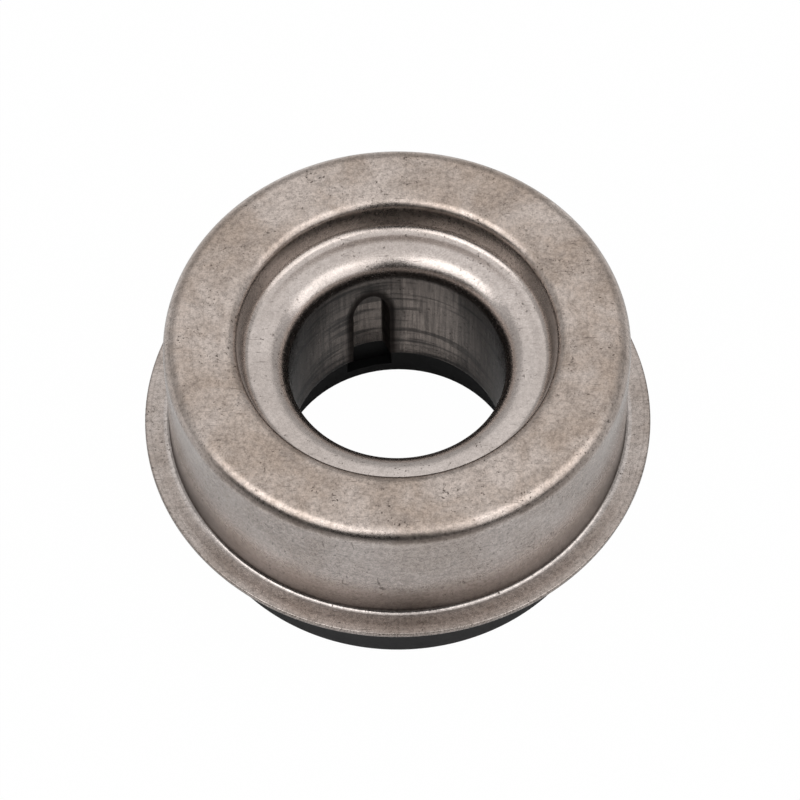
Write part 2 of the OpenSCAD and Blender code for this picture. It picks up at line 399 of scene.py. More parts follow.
    def evenness(
        self, tree: bpy.types.NodeTree, spot: SheetSpot, mottle: bpy.types.NodeSocket
    ) -> bpy.types.NodeSocket:
        """Adds the factor by which mottle, grain and the faint rings of the press change the tone.

        Args:
            tree: Node tree of the material.
            spot: Where the point lies.
            mottle: The mottle's noise.

        Returns:
            The factor, about one.
        """
        spoke = add(tree, "ShaderNodeVectorMath", {0: spot.flat}, operation="NORMALIZE").outputs[0]
        along = add(tree, "ShaderNodeMath", {0: spot.radius, 1: spot.height}, operation="SUBTRACT").outputs[0]
        along = add(tree, "ShaderNodeMath", {0: along, 1: 1 / self.ring_mm}, operation="MULTIPLY").outputs[0]
        rise = add(tree, "ShaderNodeCombineXYZ", {2: along}).outputs[0]
        turned = add(tree, "ShaderNodeVectorMath", {0: spoke, 1: (1.6,) * 3, 2: rise}, operation="MULTIPLY_ADD")
        rings = add(
            tree, "ShaderNodeTexNoise", {"Vector": turned.outputs[0], "Scale": 1.0, "Detail": 5.0, "Roughness": 0.65}
        ).outputs["Fac"]
        blotch = add(
            tree,
            "ShaderNodeMapRange",
            {0: mottle, 1: 0.34, 2: 0.64, 3: 0.76, 4: 1.14},
            interpolation_type="SMOOTHSTEP",
        ).outputs[0]
        factor = add(tree, "ShaderNodeMath", {0: spot.grain, 1: 1.0, 2: blotch}, operation="MULTIPLY_ADD").outputs[0]
        factor = add(tree, "ShaderNodeMath", {0: rings, 1: 0.45, 2: factor}, operation="MULTIPLY_ADD").outputs[0]
        factor = add(tree, "ShaderNodeMath", {0: factor, 1: 0.71}, operation="SUBTRACT").outputs[0]
        # The recessed ring is rubbed even, and the wall is painted darker than the top as painted shade, the flange
        # less so
        near, far = self.zones.calm_r
        calm = add(tree, "ShaderNodeMapRange", {0: spot.radius, 1: near, 2: far, 3: 0.45, 4: 0.0}).outputs[0]
        factor = add(tree, "ShaderNodeMix", {0: calm, 2: factor, 3: 1.07}, data_type="FLOAT").outputs[0]
        near, far = self.zones.wall_shade_r
        wall_shade = add(tree, "ShaderNodeMapRange", {0: spot.radius, 1: near, 2: far, 3: 1.0, 4: 0.8}).outputs[0]
        near, far = self.zones.flange_r
        flange = add(tree, "ShaderNodeMapRange", {0: spot.radius, 1: near, 2: far, 3: 1.0, 4: 1.08}).outputs[0]
        wall_shade = add(tree, "ShaderNodeMath", {0: wall_shade, 1: flange}, operation="MULTIPLY").outputs[0]
        factor = add(tree, "ShaderNodeMath", {0: factor, 1: wall_shade}, operation="MULTIPLY").outputs[0]
        patchy = add(
            tree,
            "ShaderNodeMapRange",
            {0: spot.clouds, 1: 0.36, 2: 0.62, 3: 1.05, 4: 0.95},
            interpolation_type="SMOOTHSTEP",
        ).outputs[0]
        return add(tree, "ShaderNodeMath", {0: factor, 1: patchy}, operation="MULTIPLY").outputs[0]

    def step_shade(self, tree: bpy.types.NodeTree, spot: SheetSpot) -> bpy.types.NodeSocket:
        """Adds painted shade on the step, from the inner edge of the rim to its foot.

        Args:
            tree: Node tree of the material.
            spot: Where the point lies.

        Returns:
            The painted shade's share.
        """
        edge = add(tree, "ShaderNodeMath", {0: spot.clouds, 1: 0.5, 2: spot.height}, operation="MULTIPLY_ADD")
        near, far = self.zones.step_r
        share = add(tree, "ShaderNodeMapRange", {0: spot.radius, 1: near, 2: far, 3: 0.0, 4: 0.85}).outputs[0]
        for bare, in_shade in (self.zones.step_top_z, self.zones.step_foot_z):
            within = add(
                tree,
                "ShaderNodeMapRange",
                {0: edge.outputs[0], 1: bare, 2: in_shade, 3: 0.0, 4: 1.0},
                interpolation_type="SMOOTHSTEP",
            ).outputs[0]
            share = add(tree, "ShaderNodeMath", {0: share, 1: within}, operation="MULTIPLY").outputs[0]
        return share

    def corner_dark_reflection(self, tree: bpy.types.NodeTree, spot: SheetSpot) -> bpy.types.NodeSocket:
        """Adds a painted dark reflection: a thin line where the rounded corner meets the wall, strongest at the
        front.

        Args:
            tree: Node tree of the material.
            spot: Where the point lies.

        Returns:
            The crease's share.
        """
        sway = 0.4
        off = add(tree, "ShaderNodeMath", {0: spot.clouds, 1: sway, 2: spot.height}, operation="MULTIPLY_ADD")
        off = add(
            tree, "ShaderNodeMath", {0: off.outputs[0], 1: self.zones.dark_line_z + sway / 2}, operation="SUBTRACT"
        )
        off = add(tree, "ShaderNodeMath", {0: off.outputs[0]}, operation="ABSOLUTE").outputs[0]
        far, near = self.zones.dark_line_w
        line = add(
            tree,
            "ShaderNodeMapRange",
            {0: off, 1: far, 2: near, 3: 0.0, 4: 0.62},
            interpolation_type="SMOOTHSTEP",
        ).outputs[0]
        near, far = self.zones.dark_line_r
        outside = add(tree, "ShaderNodeMapRange", {0: spot.radius, 1: near, 2: far}).outputs[0]
        line = add(tree, "ShaderNodeMath", {0: line, 1: outside}, operation="MULTIPLY").outputs[0]
        front = add(tree, "ShaderNodeSeparateXYZ", {0: spot.flat}).outputs[1]
        faint, strong = self.zones.dark_line_front_y
        front = add(
            tree,
            "ShaderNodeMapRange",
            {0: front, 1: faint, 2: strong, 3: 0.1, 4: 1.0},
            interpolation_type="SMOOTHSTEP",
        ).outputs[0]
        return add(tree, "ShaderNodeMath", {0: line, 1: front}, operation="MULTIPLY").outputs[0]

    def pits(self, tree: bpy.types.NodeTree, spot: SheetSpot) -> bpy.types.NodeSocket:
        """Adds the small ragged pits, gathered in patches, where grit was pressed into the sheet.

        Args:
            tree: Node tree of the material.
            spot: Where the point lies.

        Returns:
            The pits' share.
        """
        ragged = add(
            tree,
            "ShaderNodeTexNoise",
            {"Vector": spot.place, "Scale": 1 / self.pit_mm, "Detail": 3.0, "Roughness": 0.65},
        ).outputs["Fac"]
        patches = add(
            tree,
            "ShaderNodeTexNoise",
            {"Vector": spot.place, "Scale": 1 / self.pit_patch_mm, "Detail": 3.0, "Roughness": 0.6},
        ).outputs["Fac"]
        share = add(
            tree,
            "ShaderNodeMapRange",
            {0: ragged, 1: 0.6, 2: 0.68, 3: 0.0, 4: 0.85},
            interpolation_type="SMOOTHSTEP",
        ).outputs[0]
        allowed = add(
            tree,
            "ShaderNodeMapRange",
            {0: patches, 1: 0.48, 2: 0.6, 3: 0.12, 4: 1.0},
            interpolation_type="SMOOTHSTEP",
        ).outputs[0]
        return add(tree, "ShaderNodeMath", {0: share, 1: allowed}, operation="MULTIPLY").outputs[0]

    def scratches(self, tree: bpy.types.NodeTree, spot: SheetSpot) -> bpy.types.NodeSocket:
        """Adds the fine scratches of handling: long round the wall, and crossing ones over the whole sheet.

        Args:
            tree: Node tree of the material.
            spot: Where the point lies.

        Returns:
            The scratches' share.
        """
        near, far = self.zones.outer_skin_r
        outside = add(tree, "ShaderNodeMapRange", {0: spot.radius, 1: near, 2: far}).outputs[0]
        far, near = self.zones.wall_r
        wall = add(tree, "ShaderNodeMapRange", {0: spot.radius, 1: far, 2: near}).outputs[0]
        wall = add(tree, "ShaderNodeMath", {0: wall, 1: outside}, operation="MULTIPLY").outputs[0]
        total = None
        # Turn of each set of scratches in radians, its scratches per millimetre each way, and where it lies
        for turn, stretch, mask in (
            ((0.12, 0.0, 0.0), (0.3, 0.3, 9.0), wall),
            ((0.0, 0.0, 0.9), (0.5, 9.0, 0.6), None),
            ((0.0, 0.0, -0.5), (0.6, 8.0, 2.0), None),
        ):
            turned = add(tree, "ShaderNodeMapping", {"Vector": spot.place, "Rotation": turn, "Scale": stretch})
            lines = add(
                tree,
                "ShaderNodeTexNoise",
                {"Vector": turned.outputs[0], "Scale": 1.0, "Detail": 2.0, "Roughness": 0.5, "Distortion": 0.9},
            ).outputs["Fac"]
            share = add(
                tree,
                "ShaderNodeMapRange",
                {0: lines, 1: 0.68, 2: 0.76, 3: 0.0, 4: 0.6},
                interpolation_type="SMOOTHSTEP",
            ).outputs[0]
            if mask is not None:
                share = add(tree, "ShaderNodeMath", {0: share, 1: mask}, operation="MULTIPLY").outputs[0]
            if total is not None:
                share = add(tree, "ShaderNodeMath", {0: share, 1: total}, operation="MAXIMUM").outputs[0]
            total = share
        return total

    def foot_stain_and_shade(self, tree: bpy.types.NodeTree, spot: SheetSpot) -> bpy.types.NodeSocket:
        """Adds the brown stain and painted shade low on the wall, above the bright root of the flange, with an uneven
        edge.

        Args:
            tree: Node tree of the material.
            spot: Where the point lies.

        Returns:
            The stain's share.
        """
        edge = add(tree, "ShaderNodeMath", {0: spot.clouds, 1: 2.4, 2: spot.height}, operation="MULTIPLY_ADD")
        high, deep = self.zones.foot_z
        low = add(
            tree,
            "ShaderNodeMapRange",
            {0: edge.outputs[0], 1: high, 2: deep, 3: 0.0, 4: 1.0},
            interpolation_type="SMOOTHSTEP",
        ).outputs[0]
        far, near = self.zones.foot_r
        wall = add(tree, "ShaderNodeMapRange", {0: spot.radius, 1: far, 2: near, 3: 0.0, 4: 0.72}).outputs[0]
        near, far = self.zones.outer_skin_r
        outside = add(tree, "ShaderNodeMapRange", {0: spot.radius, 1: near, 2: far, 3: 0.0, 4: 1.0}).outputs[0]
        share = add(tree, "ShaderNodeMath", {0: low, 1: wall}, operation="MULTIPLY").outputs[0]
        return add(tree, "ShaderNodeMath", {0: share, 1: outside}, operation="MULTIPLY").outputs[0]

    def edge_crumbs(self, tree: bpy.types.NodeTree, spot: SheetSpot) -> bpy.types.NodeSocket:
        """Adds the dark crumbs along the trimmed edge of the flange and along the press line beside it.

        Args:
            tree: Node tree of the material.
            spot: Where the point lies.

        Returns:
            The crumbs' share.
        """
        near, far = self.zones.trimmed_edge_r
        edge = add(tree, "ShaderNodeMapRange", {0: spot.radius, 1: near, 2: far, 3: 0.0, 4: 1.0}).outputs[0]
        line = add(tree, "ShaderNodeMath", {0: spot.radius, 1: self.zones.trim_line_r}, operation="SUBTRACT")
        line = add(tree, "ShaderNodeMath", {0: line.outputs[0]}, operation="ABSOLUTE").outputs[0]
        far, near = self.zones.trim_line_w
        line = add(tree, "ShaderNodeMapRange", {0: line, 1: far, 2: near, 3: 0.0, 4: 0.6}).outputs[0]
        edge = add(tree, "ShaderNodeMath", {0: edge, 1: line}, operation="MAXIMUM").outputs[0]
        crumbs = add(
            tree,
            "ShaderNodeMapRange",
            {0: spot.grain, 1: 0.45, 2: 0.62, 3: 0.0, 4: 0.75},
            interpolation_type="SMOOTHSTEP",
        ).outputs[0]
        return add(tree, "ShaderNodeMath", {0: crumbs, 1: edge}, operation="MULTIPLY").outputs[0]

    def inside(self, tree: bpy.types.NodeTree, spot: SheetSpot) -> bpy.types.NodeSocket:
        """Adds the share by which a point belongs to the inside of the tube, soft at the lip.

        Args:
            tree: Node tree of the material.
            spot: Where the point lies.

        Returns:
            The share.
        """
        high, deep = self.zones.inside_z
        low = add(
            tree,
            "ShaderNodeMapRange",
            {0: spot.height, 1: high, 2: deep, 3: 0.0, 4: 1.0},
            interpolation_type="SMOOTHSTEP",
        ).outputs[0]
        far, near = self.zones.inside_r
        within = add(tree, "ShaderNodeMapRange", {0: spot.radius, 1: far, 2: near, 3: 0.0, 4: 1.0}).outputs[0]
        return add(tree, "ShaderNodeMath", {0: low, 1: within}, operation="MULTIPLY").outputs[0]

    def bore_tone(self, tree: bpy.types.NodeTree, spot: SheetSpot) -> bpy.types.NodeSocket:
        """Adds the tone inside the tube: streaks along the axis, bands round it, painted reflection, light and shade.

        Args:
            tree: Node tree of the material.
            spot: Where the point lies.

        Returns:
            The tone.
        """
        streak_place = add(
            tree, "ShaderNodeVectorMath", {0: spot.place, 1: self.streaks_per_mm}, operation="MULTIPLY"
        ).outputs[0]
        streaks = add(
            tree, "ShaderNodeTexNoise", {"Vector": streak_place, "Scale": 1.0, "Detail": 5.0, "Roughness": 0.7}
        ).outputs["Fac"]
        band_place = add(
            tree, "ShaderNodeVectorMath", {0: spot.place, 1: self.bands_per_mm}, operation="MULTIPLY"
        ).outputs[0]
        bands = add(
            tree, "ShaderNodeTexNoise", {"Vector": band_place, "Scale": 1.0, "Detail": 5.0, "Roughness": 0.6}
        ).outputs["Fac"]
        banded = add(
            tree,
            "ShaderNodeMapRange",
            {0: bands, 1: 0.38, 2: 0.5, 3: 0.3, 4: 1.0},
            interpolation_type="SMOOTHSTEP",
        ).outputs[0]
        # A painted reflection: a lighter patch that ends in straight edges along the axis
        split = add(tree, "ShaderNodeSeparateXYZ", {0: spot.flat}).outputs
        angle = add(tree, "ShaderNodeMath", {0: split[1], 1: split[0]}, operation="ARCTAN2").outputs[0]
        angle = add(tree, "ShaderNodeMath", {0: angle}, operation="DEGREES").outputs[0]
        angle = add(tree, "ShaderNodeMath", {0: angle, 1: (self.reflection_from + self.reflection_to) / 2}, operation="SUBTRACT")
        angle = add(tree, "ShaderNodeMath", {0: angle.outputs[0]}, operation="ABSOLUTE").outputs[0]
        half = (self.reflection_to - self.reflection_from) / 2
        rubbed = add(
            tree, "ShaderNodeMapRange", {0: angle, 1: half + self.reflection_edge, 2: half, 3: 0.7, 4: 1.12}
        ).outputs[0]
        # Painted light on the floor of each key, which stands further out than the tube
        near, far = self.zones.lit_key_floor_r
        pressed = add(tree, "ShaderNodeMapRange", {0: spot.radius, 1: near, 2: far, 3: 1.0, 4: 1.3}).outputs[0]
        rubbed = add(tree, "ShaderNodeMath", {0: rubbed, 1: pressed}, operation="MULTIPLY").outputs[0]
        tone = add(tree, "ShaderNodeMath", {0: streaks, 1: 3.0, 2: -0.5}, operation="MULTIPLY_ADD").outputs[0]
        tone = add(tree, "ShaderNodeMath", {0: tone, 1: banded}, operation="MULTIPLY").outputs[0]
        tone = add(tree, "ShaderNodeMath", {0: tone, 1: rubbed}, operation="MULTIPLY").outputs[0]
        # Painted shade darkens the tube just below the rolled lip
        clean, in_shade = self.zones.below_lip_z
        below_lip = add(
            tree,
            "ShaderNodeMapRange",
            {0: spot.height, 1: clean, 2: in_shade, 3: 1.0, 4: 0.8},
            interpolation_type="SMOOTHSTEP",
        ).outputs[0]
        tone = add(tree, "ShaderNodeMath", {0: tone, 1: below_lip}, operation="MULTIPLY").outputs[0]
        return add(
            tree, "ShaderNodeVectorMath", {0: linear(self.bore)[:3], "Scale": tone}, operation="SCALE"
        ).outputs[0]

    def bend_shade_share(self, tree: bpy.types.NodeTree, inside: bpy.types.NodeSocket) -> bpy.types.NodeSocket:
        """Adds the dark brown painted shade in and around the bends of the keys.

        Args:
            tree: Node tree of the material.
            inside: Share by which a point belongs to the inside of the tube.

        Returns:
            The grime's share.
        """
        bend_shade = add(tree, "ShaderNodeAttribute", attribute_name=KEY_SHADE).outputs["Fac"]
        bend_shade = add(tree, "ShaderNodeMapRange", {0: bend_shade, 4: 0.76}).outputs[0]
        return add(tree, "ShaderNodeMath", {0: bend_shade, 1: inside}, operation="MULTIPLY").outputs[0]

    def material(self) -> bpy.types.Material:
        """Builds the material: film, stains, painted shade and reflections, mottle, pits and scratches over satin
        steel.
        """
        material, tree = new_material("drawn_stainless_steel")
        spot = self.spot(tree)
        mottle = add(
            tree,
            "ShaderNodeTexNoise",
            {"Vector": spot.place, "Scale": 1 / self.mottle_mm, "Detail": 4.0, "Roughness": 0.78},
        ).outputs["Fac"]
        film = self.film_share(tree, spot)
        foot, pits = self.foot_stain_and_shade(tree, spot), self.pits(tree, spot)
        inside = self.inside(tree, spot)
        bends = self.bend_shade_share(tree, inside)

        tone = linear(self.clean)
        for share, colour in (
            (add(tree, "ShaderNodeClamp", {"Value": film}).outputs[0], linear(self.film)),
            (self.dull_share(tree, spot, film), linear(self.dull)),
            # Painted shade on the step
            (self.step_shade(tree, spot), linear(self.painted_shade)),
            # The bore's darker tone, partly painted shade, with a painted reflection and painted light
            (inside, self.bore_tone(tree, spot)),
            # Painted shade in the bends of the keys
            (bends, linear(self.bend_shade_colour)),
        ):
            tone = add(tree, "ShaderNodeMix", {0: share, 6: tone, 7: colour}, data_type="RGBA").outputs[2]
        factor = self.evenness(tree, spot, mottle)
        tone = add(tree, "ShaderNodeVectorMath", {0: tone, "Scale": factor}, operation="SCALE").outputs[0]
        # The dark line under the corner is a painted dark reflection
        crease = self.corner_dark_reflection(tree, spot)
        # Pits, scratches and crumbs are real marks; the foot's share is stain deepened by painted shade
        for share in (pits, self.scratches(tree, spot), foot, self.edge_crumbs(tree, spot), crease):
            tone = add(tree, "ShaderNodeMix", {0: share, 6: tone, 7: linear(self.stain_and_shade)}, data_type="RGBA").outputs[2]

        # Film, stain and mottle scatter the light more than the rubbed metal
        rough = add(tree, "ShaderNodeMath", {0: film, 1: 0.1, 2: self.roughness}, operation="MULTIPLY_ADD").outputs[0]
        rough = add(tree, "ShaderNodeMath", {0: foot, 1: 0.2, 2: rough}, operation="MULTIPLY_ADD").outputs[0]
        rough = add(tree, "ShaderNodeMath", {0: mottle, 1: 0.16, 2: rough}, operation="MULTIPLY_ADD").outputs[0]
        root = add(tree, "ShaderNodeMapRange", {0: film, 1: 0.0, 2: -0.3, 3: 0.08, 4: 0.14}).outputs[0]
        rough = add(tree, "ShaderNodeMath", {0: rough, 1: root}, operation="SUBTRACT").outputs[0]
        rough = add(tree, "ShaderNodeMath", {0: bends, 1: 0.55, 2: rough}, operation="MULTIPLY_ADD").outputs[0]

        # Grain and mottle, a slow waviness of the drawn sheet, and the depth of the pits
        relief = add(tree, "ShaderNodeMath", {0: spot.clouds, 1: 2.0, 2: spot.grain}, operation="MULTIPLY_ADD")
        relief = add(tree, "ShaderNodeMath", {0: mottle, 1: 0.6, 2: relief.outputs[0]}, operation="MULTIPLY_ADD")
        relief = add(tree, "ShaderNodeMath", {0: pits, 1: -1.5, 2: relief.outputs[0]}, operation="MULTIPLY_ADD")
        bump = add(
            tree, "ShaderNodeBump", {"Height": relief.outputs[0], "Distance": self.relief_mm * MM, "Strength": 1.0}
        ).outputs[0]
        shader = add(
            tree,
            "ShaderNodeBsdfPrincipled",
            {"Base Color": tone, "Metallic": 1.0, "Roughness": rough, "Normal": bump},
        )
        add(tree, "ShaderNodeOutputMaterial", {0: shader.outputs[0]})
        return material


@dataclass(frozen=True)
class PressedStainless:
    """Thin stainless strip, pressed and tumbled: an even satin grey with a fine grain and faint rings."""

    name: str = "pressed_stainless_strip"
    tint: str = "#B7B2AC"
    dull: str = "#A09B95"
    roughness: float = 0.3
    cloud_mm: float = 10 / 3
    grain_mm: float = 0.2
    relief_mm: float = 0.004

    def material(self) -> bpy.types.Material:
        """Builds the material from a fine grain and a slow change of tone."""
        material, tree = new_material(self.name)
        place = add(tree, "ShaderNodeTexCoord").outputs["Object"]
        mm = add(tree, "ShaderNodeVectorMath", {0: place, "Scale": 1 / MM}, operation="SCALE").outputs[0]
        slow = add(
            tree,
            "ShaderNodeTexNoise",
            {"Vector": mm, "Scale": 1 / self.cloud_mm, "Detail": 5.0, "Roughness": 0.6},
        ).outputs["Fac"]
        grain = add(
            tree, "ShaderNodeTexNoise", {"Vector": mm, "Scale": 1 / self.grain_mm, "Detail": 2.0}
        ).outputs["Fac"]
        dull = add(
            tree,
            "ShaderNodeMapRange",
            {0: slow, 1: 0.4, 2: 0.7, 3: 0.0, 4: 0.8},
            interpolation_type="SMOOTHSTEP",
        ).outputs[0]
        tone = add(
            tree, "ShaderNodeMix", {0: dull, 6: linear(self.tint), 7: linear(self.dull)}, data_type="RGBA"
        ).outputs[2]
        rough = add(
            tree, "ShaderNodeMath", {0: grain, 1: 0.16, 2: self.roughness - 0.08}, operation="MULTIPLY_ADD"
        ).outputs[0]
        bump = add(tree, "ShaderNodeBump", {"Height": grain, "Distance": self.relief_mm * MM}).outputs[0]
        shader = add(
            tree,
            "ShaderNodeBsdfPrincipled",
            {"Base Color": tone, "Metallic": 1.0, "Roughness": rough, "Normal": bump},
        )
        add(tree, "ShaderNodeOutputMaterial", {0: shader.outputs[0]})
        return material


@dataclass(frozen=True)
class NitrileRubber:
    """Moulded nitrile rubber: matt near-black with a dry bloom and the grain of the blasted mould."""

    black: str = "#0C0B0D"
    bloom: str = "#161516"
    roughness: float = 0.68
    cloud_mm: float = 2.0
    grain_mm: float = 0.12
    relief_mm: float = 0.01

    def material(self) -> bpy.types.Material:
        """Builds the material from the bloom's soft clouds and the mould's grain."""
        material, tree = new_material("moulded_nitrile_rubber")
        place = add(tree, "ShaderNodeTexCoord").outputs["Object"]
        mm = add(tree, "ShaderNodeVectorMath", {0: place, "Scale": 1 / MM}, operation="SCALE").outputs[0]
        clouds = add(
            tree,
            "ShaderNodeTexNoise",
            {"Vector": mm, "Scale": 1 / self.cloud_mm, "Detail": 6.0, "Roughness": 0.65},
        ).outputs["Fac"]
        grain = add(
            tree, "ShaderNodeTexNoise", {"Vector": mm, "Scale": 1 / self.grain_mm, "Detail": 2.0}
        ).outputs["Fac"]
        dusty = add(
            tree,
            "ShaderNodeMapRange",
            {0: clouds, 1: 0.35, 2: 0.7, 3: 0.0, 4: 1.0},
            interpolation_type="SMOOTHSTEP",
        ).outputs[0]
        tone = add(
            tree, "ShaderNodeMix", {0: dusty, 6: linear(self.black), 7: linear(self.bloom)}, data_type="RGBA"
        ).outputs[2]
        rough = add(
            tree, "ShaderNodeMath", {0: grain, 1: 0.2, 2: self.roughness - 0.1}, operation="MULTIPLY_ADD"
        ).outputs[0]
        bump = add(tree, "ShaderNodeBump", {"Height": grain, "Distance": self.relief_mm * MM}).outputs[0]
        shader = add(
            tree, "ShaderNodeBsdfPrincipled", {"Base Color": tone, "Roughness": rough, "Normal": bump, "IOR": 1.52}
        )
        add(tree, "ShaderNodeOutputMaterial", {0: shader.outputs[0]})
        return material


@dataclass(frozen=True)
class CarbonGraphite:
    """Resin-filled carbon graphite: turned satin black, with a lapped seal face that shines a little."""

    black: str = "#040405"
    fleck: str = "#0A0A0C"
    roughness: float = 0.55
    lapped: float = 0.16
    lapped_z: Span = (0.02, 0.06)
    fleck_mm: float = 1 / 6
    marks_per_mm: tuple[float, float, float] = (0.3, 0.3, 9.0)
    relief_mm: float = 0.006

    def material(self) -> bpy.types.Material:
        """Builds the material from graphite flecks and tool marks, smoothed on the lapped face."""
        material, tree = new_material("carbon_graphite")
        place = add(tree, "ShaderNodeTexCoord").outputs["Object"]
        mm = add(tree, "ShaderNodeVectorMath", {0: place, "Scale": 1 / MM}, operation="SCALE").outputs[0]
        split = add(tree, "ShaderNodeSeparateXYZ", {0: mm})
        flecks = add(
            tree, "ShaderNodeTexNoise", {"Vector": mm, "Scale": 1 / self.fleck_mm, "Detail": 2.0}
        ).outputs["Fac"]
        amount = add(
            tree,
            "ShaderNodeMapRange",
            {0: flecks, 1: 0.55, 2: 0.75, 3: 0.0, 4: 0.8},
            interpolation_type="SMOOTHSTEP",
        ).outputs[0]
        tone = add(
            tree, "ShaderNodeMix", {0: amount, 6: linear(self.black), 7: linear(self.fleck)}, data_type="RGBA"
        ).outputs[2]
        # The face lies at height zero, and the lapping stops at its chamfers
        near, far = self.lapped_z
        off_face = add(
            tree, "ShaderNodeMapRange", {0: split.outputs[2], 1: near, 2: far, 3: self.lapped, 4: self.roughness}
        ).outputs[0]
        tool_marks = add(
            tree, "ShaderNodeVectorMath", {0: mm, 1: self.marks_per_mm}, operation="MULTIPLY"
        ).outputs[0]
        marks = add(tree, "ShaderNodeTexNoise", {"Vector": tool_marks, "Scale": 1.0, "Detail": 2.0}).outputs["Fac"]
        bump = add(tree, "ShaderNodeBump", {"Height": marks, "Distance": self.relief_mm * MM}).outputs[0]
        shader = add(
            tree, "ShaderNodeBsdfPrincipled", {"Base Color": tone, "Roughness": off_face, "Normal": bump, "IOR": 1.35}
        )
        add(tree, "ShaderNodeOutputMaterial", {0: shader.outputs[0]})
        return material


@dataclass
class DrawnCase:
    """The one-piece case, drawn from sheet: flange, wall, raised rim, recessed ring, rolled lip and tube."""

    flange_r: float = 20.25
    wall_r: float = 18.25
    step_r: float = 12.65
    foot_r: float = 12.0
    dish_r: float = 11.2
    tube_r: float = 8.53
    sheet: float = 0.5
    flange_z: float = 8.4
    top_z: float = 20.3
    recess_z: float = 17.45
    lip_z: float = 17.6
    tube_end_z: float = 4.5
    corner_round: float = 1.4
    root_round: float = 0.35
    rim_round: float = 1.1
    step_round: float = 0.8
    dish_round: float = 4.0
    lip_round: float = 2.2
    edge_round: float = 0.12
    band_h: float = 1.3
    band_step: float = 0.05
    key_count: int = 3
    key_angle: float = 104.2
    key_depth: float = 1.15
    key_floor_w: float = 2.7
    key_mouth_w: float = 2.9
    key_crown: float = 0.15
    key_thinning: float = 0.66
    key_top_z: float = 13.05
    key_arch_h: float = 2.65
    key_soft: float = 0.12
    # Width of the painted shade round each key's mouth, and the size of its hump at the open end
    key_shade_w: float = 0.65
    key_hump_w: float = 0.35
    key_hump_h: float = 0.7
    # Steps of the mesh: along the outline in millimetres, and round the axis in degrees from a key's middle
    arc_step: float = 0.17
    run_step: float = 0.8
    key_step: float = 0.1
    turn_step: float = 2.0
    key_zone: float = 14.4
    floor_to: float = 5.8
    floor_columns: int = 23
    flank_span: Span = (6.2, 13.0)
    flank_step: float = 0.26
    beside_from: float = 13.3

    def outline(self) -> np.ndarray:
        """Gives the section of the sheet, from the edge of the flange over the top to the end of the tube."""
        t = self.sheet
        flange_top, wall_in = self.flange_z + t, self.wall_r - t
        tube_out, band_z = self.tube_r + t, self.tube_end_z + self.band_h
        # Extra points over the round upper ends of the keys, half as many behind the sheet as in the bore
        over_arch, under_arch = self.key_top_z + 0.45, self.key_top_z - self.key_arch_h - 0.6
        stations = np.arange(over_arch, under_arch, -self.key_step)
        over_bore = [(self.tube_r, z, 0.0) for z in stations]
        over_back = [(tube_out, z, 0.0) for z in stations[::-2]]
        band_round, end_round = 0.1, 0.08
        corners = [
            (self.flange_r, self.flange_z, self.edge_round),
            (self.flange_r, flange_top, self.edge_round),
            (self.wall_r, flange_top, self.root_round),
            (self.wall_r, self.top_z, self.corner_round),
            (self.step_r, self.top_z, self.rim_round),
            (self.foot_r, self.recess_z, self.step_round),
            (self.dish_r, self.recess_z, self.dish_round),
            (self.tube_r, self.lip_z, self.lip_round),
            *over_bore,
            (self.tube_r, band_z + band_round, band_round),
            (self.tube_r + self.band_step, band_z, band_round),
            (self.tube_r + self.band_step, self.tube_end_z, end_round),
            (tube_out, self.tube_end_z, end_round),
            *over_back,
            (tube_out, self.lip_z - t, self.lip_round - t),
            (self.dish_r, self.recess_z - t, self.dish_round),
            (self.foot_r + t, self.recess_z - t, self.step_round + t),
            (self.step_r + t, self.top_z - t, self.rim_round - t),
            (wall_in, self.top_z - t, self.corner_round - t),
            (wall_in, self.flange_z, self.root_round + t),
        ]
        return rounded_outline(corners, self.arc_step, self.run_step)

    def angles(self) -> np.ndarray:
        """Gives the angles of the mesh round the axis, closer together across the keys, in radians."""
        centres = self.key_angle + np.arange(self.key_count) * 360 / self.key_count
        even = np.arange(0, 360, self.turn_step)
        away = np.abs((even[:, None] - centres + 180) % 360 - 180).min(axis=1) > self.key_zone
        # The floor of a key is nearly even, so its columns stand further apart than those across its flanks
        floor = np.linspace(-self.floor_to, self.floor_to, self.floor_columns)
        flank = np.arange(*self.flank_span, self.flank_step)
        beside = np.linspace(self.beside_from, self.key_zone, 3)
        close = centres[:, None] + np.concatenate([-beside[::-1], -flank[::-1], floor, flank, beside])
        return np.radians(np.sort(np.concatenate([even[away], close.ravel() % 360])))

    def press_keys(self, r: np.ndarray, z: np.ndarray, angles: np.ndarray) -> tuple[np.ndarray, ...]:
        """Presses the drive keys out of the tube.

        Args:
            r: Distance of each point from the axis, one row per outline point and one column per angle.
            z: Height of each point, laid out the same way.
            angles: Angle of each column, in radians.

        Returns:
            The places of the points along X and Y, and how much painted shade each point gets in the bends.
        """
        x, y = r * np.cos(angles), r * np.sin(angles)
        painted_shade = np.zeros_like(x)
        on_tube = (r < self.tube_r + self.sheet + 0.01) & (z < self.recess_z - self.lip_round)
        share = np.clip((r - self.tube_r) / self.sheet, 0, 1)
        # The share runs from the bore's skin to the back's, so the back's reach is wider by the flank's thickness
        slope = (self.key_mouth_w - self.key_floor_w) / 2 / self.key_depth
        flank = self.sheet * self.key_thinning * math.sqrt(1 + slope * slope)
        reach_in = self.key_floor_w / 2 - self.key_soft + share * flank
        reach_out = self.key_mouth_w / 2 + self.key_soft + share * flank
        middle_z = self.key_top_z - self.key_arch_h
        arch = self.key_arch_h * 2 / self.key_mouth_w
        shade_edge, hump_share = 0.1, 0.6
        for k in range(self.key_count):
            turn = math.radians(self.key_angle + k * 360 / self.key_count)
            outward = x * math.cos(turn) + y * math.sin(turn)
            across = y * math.cos(turn) - x * math.sin(turn)
            away = np.hypot(across, np.maximum(z - middle_z, 0) / arch)
            t = np.clip((reach_out - away) / (reach_out - reach_in), 0, 1)
            near = on_tube & (outward > 0)
            weight = t * t * (3 - 2 * t) * near
